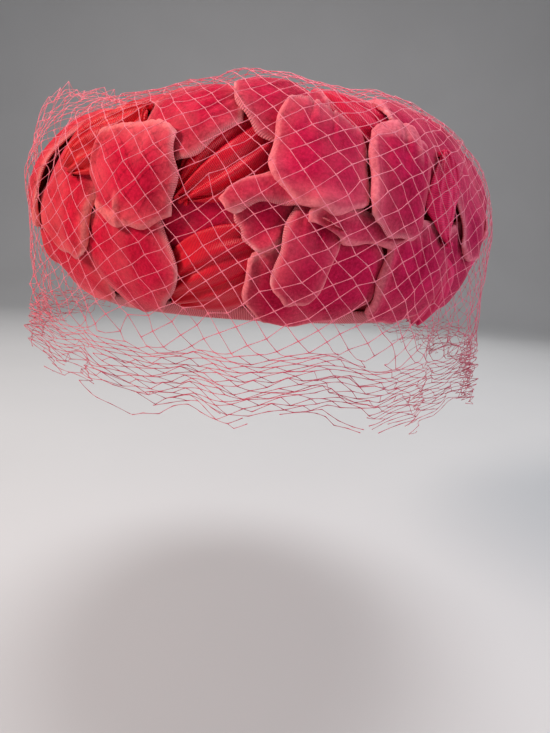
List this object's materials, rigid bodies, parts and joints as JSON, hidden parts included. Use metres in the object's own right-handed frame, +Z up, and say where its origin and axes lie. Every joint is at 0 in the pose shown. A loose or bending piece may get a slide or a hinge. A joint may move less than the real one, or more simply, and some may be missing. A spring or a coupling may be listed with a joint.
{
  "type": "pillbox hat",
  "caption": "Pillbox hat covered in overlapping velvet ribbon petals and twisted faille ribbon loops, with a bound rim and a coarse veil that falls past the rim.",
  "frame": {"origin": "centre of the head opening, in the plane of the rim", "axes": "+Z up out of the crown, -Y towards the front of the hat, +X to the viewer's right when the hat is seen from the front"},
  "size_m": [0.2282, 0.2621, 0.1346],
  "materials": {
    "velvet_ribbon": "matte pile with paler selvedge edges",
    "faille_ribbon": "satin sheen with fine cross ribs",
    "foundation": "matt stiffened cloth",
    "grosgrain": "ribbed ribbon",
    "veil_net": "fine knotted thread"
  },
  "bodies": {
    "root": {"crown_base": "foundation", "faille_front_01": "faille_ribbon", "faille_front_02": "faille_ribbon", "faille_front_03": "faille_ribbon", "faille_front_04": "faille_ribbon", "faille_front_05": "faille_ribbon", "faille_front_06": "faille_ribbon", "faille_front_07": "faille_ribbon", "faille_side_01": "faille_ribbon", "faille_side_02": "faille_ribbon", "faille_side_03": "faille_ribbon", "faille_side_04": "faille_ribbon", "faille_top_01": "faille_ribbon", "rim_band": "grosgrain", "veil_crown": "veil_net", "veil_fall": "veil_net", "velvet_front_01": "velvet_ribbon", "velvet_front_02": "velvet_ribbon", "velvet_front_03": "velvet_ribbon", "velvet_front_04": "velvet_ribbon", "velvet_front_05": "velvet_ribbon", "velvet_front_06": "velvet_ribbon", "velvet_front_07": "velvet_ribbon", "velvet_front_08": "velvet_ribbon", "velvet_front_09": "velvet_ribbon", "velvet_front_10": "velvet_ribbon", "velvet_front_11": "velvet_ribbon", "velvet_front_12": "velvet_ribbon", "velvet_front_13": "velvet_ribbon", "velvet_front_14": "velvet_ribbon", "velvet_front_15": "velvet_ribbon", "velvet_front_16": "velvet_ribbon", "velvet_front_17": "velvet_ribbon", "velvet_front_18": "velvet_ribbon", "velvet_side_01": "velvet_ribbon", "velvet_side_02": "velvet_ribbon", "velvet_side_03": "velvet_ribbon", "velvet_side_04": "velvet_ribbon", "velvet_side_05": "velvet_ribbon", "velvet_side_06": "velvet_ribbon", "velvet_side_07": "velvet_ribbon", "velvet_side_08": "velvet_ribbon", "velvet_side_09": "velvet_ribbon", "velvet_side_10": "velvet_ribbon", "velvet_side_11": "velvet_ribbon", "velvet_side_12": "velvet_ribbon", "velvet_top_01": "velvet_ribbon", "velvet_top_02": "velvet_ribbon", "velvet_top_03": "velvet_ribbon", "velvet_top_04": "velvet_ribbon", "velvet_top_05": "velvet_ribbon", "velvet_top_06": "velvet_ribbon", "velvet_top_07": "velvet_ribbon", "velvet_top_08": "velvet_ribbon", "velvet_top_09": "velvet_ribbon"}
  },
  "joints": []
}
